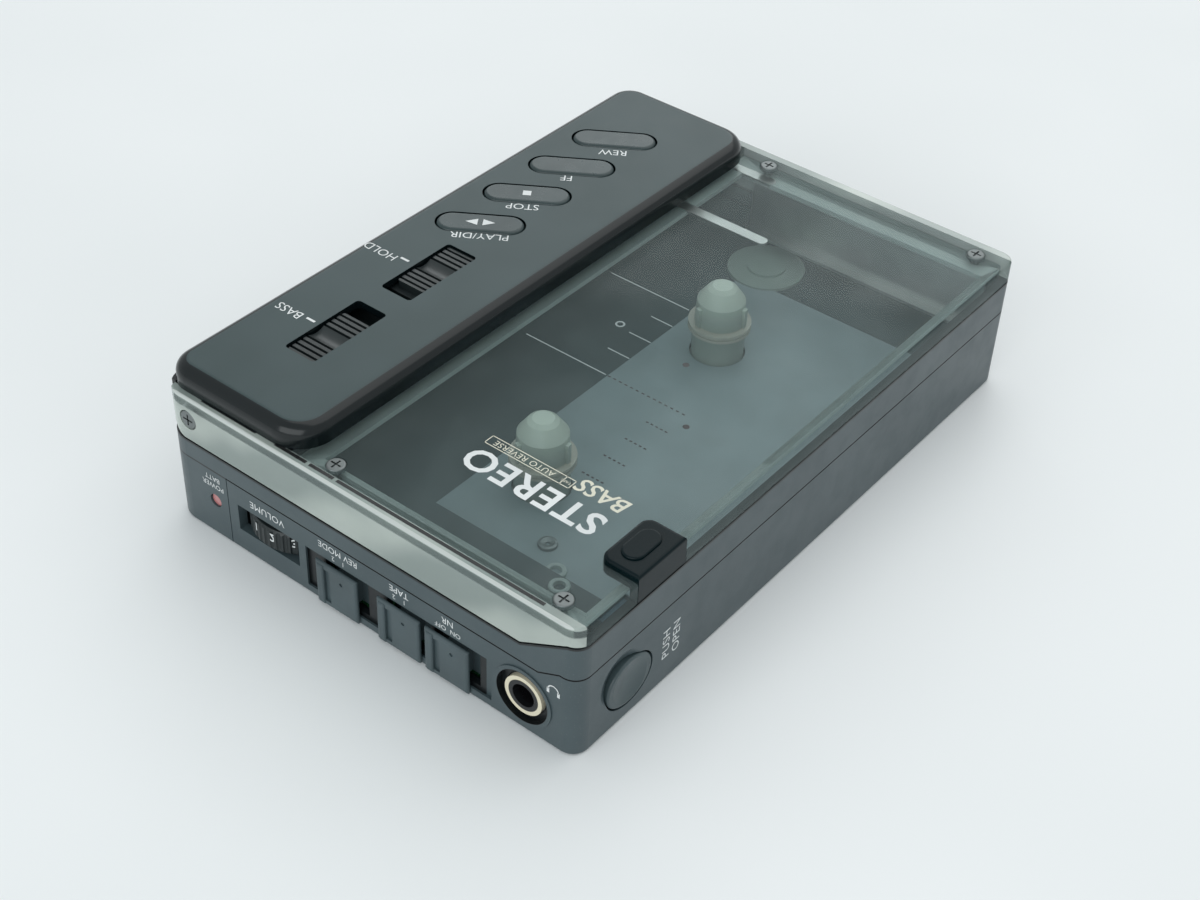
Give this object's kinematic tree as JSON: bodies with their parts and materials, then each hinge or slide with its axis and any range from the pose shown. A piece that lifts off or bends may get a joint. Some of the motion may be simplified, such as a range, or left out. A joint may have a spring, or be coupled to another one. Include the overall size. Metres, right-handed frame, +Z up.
{
  "type": "cassette player",
  "caption": "Pocket cassette player with a clear hinged lid, a raised control strip and slide switches, a volume wheel and a headphone socket on one end.",
  "frame": {"origin": "centre of the case on the floor, under the middle of its rear face", "axes": "+Z up out of the lid, +X along the long side away from the headphone socket, +Y along the short side towards the hinge"},
  "size_m": [0.1079, 0.0751, 0.0267],
  "materials": {
    "case_plastic": "satin charcoal paint over plastic",
    "clear_lid": "smoked clear acrylic",
    "frame_plastic": "pale grey moulded plastic",
    "gloss_black": "gloss black",
    "button_black": "gloss black",
    "knob_black": "satin black",
    "steel": "bright plated steel",
    "spindle_white": "translucent white plastic",
    "grey_plastic": "grey moulded plastic",
    "deck_plastic": "dark moulded plastic",
    "pad_green": "pale grey-green plastic",
    "board_green": "solder-masked board",
    "brass": "plated brass",
    "lamp_red": "clear red lens",
    "rubber": "matt rubber",
    "aluminium": "turned",
    "gear_white": "moulded acetal",
    "cell_wrap": "wrapped steel can"
  },
  "bodies": {
    "case": {"rear_case": "case_plastic", "mid_frame": "case_plastic", "deck": "deck_plastic", "deck_liner": "grey_plastic", "cassette_pad": "pad_green", "chassis_plate": "steel", "capstan_bushes": "brass", "pivot_pins": "steel", "main_board": "board_green", "end_switches": "gloss_black", "volume_pot": "grey_plastic", "jack_socket": "knob_black", "jack_collar": "brass", "power_lamp": "lamp_red", "battery_cell": "cell_wrap", "battery_contacts": "steel", "case_screws": "steel", "motor_can": "steel", "drive_belt": "rubber", "hinge_brackets": "steel"},
    "door": {"lid_panel": "clear_lid", "door_frame": "frame_plastic", "holder_rails": "steel", "hold_down_springs": "steel", "door_screws": "steel", "latch_tab": "gloss_black", "latch_hook": "steel", "control_cover": "gloss_black", "control_base": "deck_plastic", "control_board": "board_green"},
    "volume": {"volume_wheel": "knob_black"},
    "mode": {"mode_knob": "knob_black"},
    "tape": {"tape_knob": "knob_black"},
    "noise": {"noise_knob": "knob_black"},
    "battery_lid": {"battery_cover": "case_plastic"},
    "opener": {"open_button": "button_black"},
    "catch": {"latch_slider": "knob_black", "latch_spring": "steel"},
    "motor": {"motor_pulley": "brass"},
    "fly_left": {"flywheel_left": "aluminium", "capstan_left": "steel"},
    "fly_right": {"flywheel_right": "aluminium", "capstan_right": "steel"},
    "idler": {"idler_gear": "gear_white"},
    "reel_left": {"spindle_left": "spindle_white", "reel_gear_left": "gear_white"},
    "reel_right": {"spindle_right": "spindle_white", "reel_gear_right": "gear_white"},
    "head_slide": {"head_carriage": "steel", "tape_head": "steel"},
    "arm_left": {"pinch_arm_left": "steel"},
    "arm_right": {"pinch_arm_right": "steel"},
    "roller_left": {"pinch_roller_left": "rubber"},
    "roller_right": {"pinch_roller_right": "rubber"},
    "rew": {"rew_button": "button_black"},
    "ff": {"ff_button": "button_black"},
    "stop": {"stop_button": "button_black"},
    "play": {"play_button": "button_black"},
    "hold": {"hold_knob": "knob_black"},
    "bass": {"bass_knob": "knob_black"}
  },
  "joints": [
    {"name": "door_hinge", "type": "hinge", "parent": "case", "child": "door", "pos_m": [0, 0.0322, 0.0191], "axis": [-1, 0, 0], "range_deg": [0, 50]},
    {"name": "rew_press", "type": "slide", "parent": "door", "child": "rew", "axis": [0, 0, -1], "range_m": [0, 0.0007], "stiffness_N_per_m": 300, "springref_m": -0.0005},
    {"name": "ff_press", "type": "slide", "parent": "door", "child": "ff", "axis": [0, 0, -1], "range_m": [0, 0.0007], "stiffness_N_per_m": 300, "springref_m": -0.0005},
    {"name": "stop_press", "type": "slide", "parent": "door", "child": "stop", "axis": [0, 0, -1], "range_m": [0, 0.0007], "stiffness_N_per_m": 300, "springref_m": -0.0005},
    {"name": "play_press", "type": "slide", "parent": "door", "child": "play", "axis": [0, 0, -1], "range_m": [0, 0.0007], "stiffness_N_per_m": 300, "springref_m": -0.0005},
    {"name": "hold_slide", "type": "slide", "parent": "door", "child": "hold", "axis": [-1, 0, 0], "range_m": [0, 0.003]},
    {"name": "bass_slide", "type": "slide", "parent": "door", "child": "bass", "axis": [1, 0, 0], "range_m": [0, 0.003]},
    {"name": "open_press", "type": "slide", "parent": "case", "child": "opener", "axis": [0, 1, 0], "range_m": [0, 0.0012], "stiffness_N_per_m": 300, "springref_m": -0.0005},
    {"name": "catch_slide", "type": "slide", "parent": "case", "child": "catch", "axis": [0, 1, 0], "range_m": [0, 0.0012]},
    {"name": "volume_turn", "type": "hinge", "parent": "case", "child": "volume", "pos_m": [-0.0458, 0.01765, 0.0062], "axis": [0, 0, 1], "range_deg": [0, 270]},
    {"name": "mode_slide", "type": "slide", "parent": "case", "child": "mode", "axis": [0, 1, 0], "range_m": [0, 0.002]},
    {"name": "tape_slide", "type": "slide", "parent": "case", "child": "tape", "axis": [0, 1, 0], "range_m": [0, 0.002]},
    {"name": "noise_slide", "type": "slide", "parent": "case", "child": "noise", "axis": [0, -1, 0], "range_m": [0, 0.002]},
    {"name": "battery_hinge", "type": "hinge", "parent": "case", "child": "battery_lid", "pos_m": [0, -0.0341, 0.0007], "axis": [-1, 0, 0], "range_deg": [0, 90]},
    {"name": "motor_spin", "type": "hinge", "parent": "case", "child": "motor", "pos_m": [0.0405, -0.017, 0.003], "axis": [0, 0, 1], "continuous": true},
    {"name": "fly_left_spin", "type": "hinge", "parent": "case", "child": "fly_left", "pos_m": [-0.02245, 0.0242, 0.003], "axis": [0, 0, 1], "continuous": true},
    {"name": "fly_right_spin", "type": "hinge", "parent": "case", "child": "fly_right", "pos_m": [0.02055, 0.0242, 0.003], "axis": [0, 0, 1], "continuous": true},
    {"name": "idler_spin", "type": "hinge", "parent": "case", "child": "idler", "pos_m": [0.02668, 0.01251, 0.00525], "axis": [0, 0, 1], "continuous": true},
    {"name": "reel_left_spin", "type": "hinge", "parent": "case", "child": "reel_left", "pos_m": [-0.0222, -0.0056, 0.01], "axis": [0, 0, 1], "continuous": true},
    {"name": "reel_right_spin", "type": "hinge", "parent": "case", "child": "reel_right", "pos_m": [0.0203, -0.0056, 0.01], "axis": [0, 0, 1], "continuous": true},
    {"name": "head_slide", "type": "slide", "parent": "case", "child": "head_slide", "axis": [0, -1, 0], "range_m": [0, 0.0035]},
    {"name": "arm_left_turn", "type": "hinge", "parent": "case", "child": "arm_left", "pos_m": [-0.03245, 0.0295, 0.0107], "axis": [0, 0, -1], "range_deg": [0, 16.8]},
    {"name": "arm_right_turn", "type": "hinge", "parent": "case", "child": "arm_right", "pos_m": [0.03055, 0.0295, 0.0107], "axis": [0, 0, 1], "range_deg": [0, 16.8]},
    {"name": "roller_left_spin", "type": "hinge", "parent": "arm_left", "child": "roller_left", "pos_m": [-0.02245, 0.031, 0.015], "axis": [0, 0, 1], "continuous": true},
    {"name": "roller_right_spin", "type": "hinge", "parent": "arm_right", "child": "roller_right", "pos_m": [0.02055, 0.031, 0.015], "axis": [0, 0, 1], "continuous": true}
  ],
  "couplings": [
    {"joint": "catch_slide", "follows": "open_press", "ratio": 1},
    {"joint": "fly_left_spin", "follows": "fly_right_spin", "ratio": 1},
    {"joint": "motor_spin", "follows": "fly_right_spin", "ratio": 5.5968},
    {"joint": "idler_spin", "follows": "fly_right_spin", "ratio": -0.17857},
    {"joint": "reel_right_spin", "follows": "fly_right_spin", "ratio": 0.25},
    {"joint": "arm_left_turn", "follows": "head_slide", "rad_per_m": 83.771},
    {"joint": "arm_right_turn", "follows": "head_slide", "rad_per_m": 83.771}
  ]
}
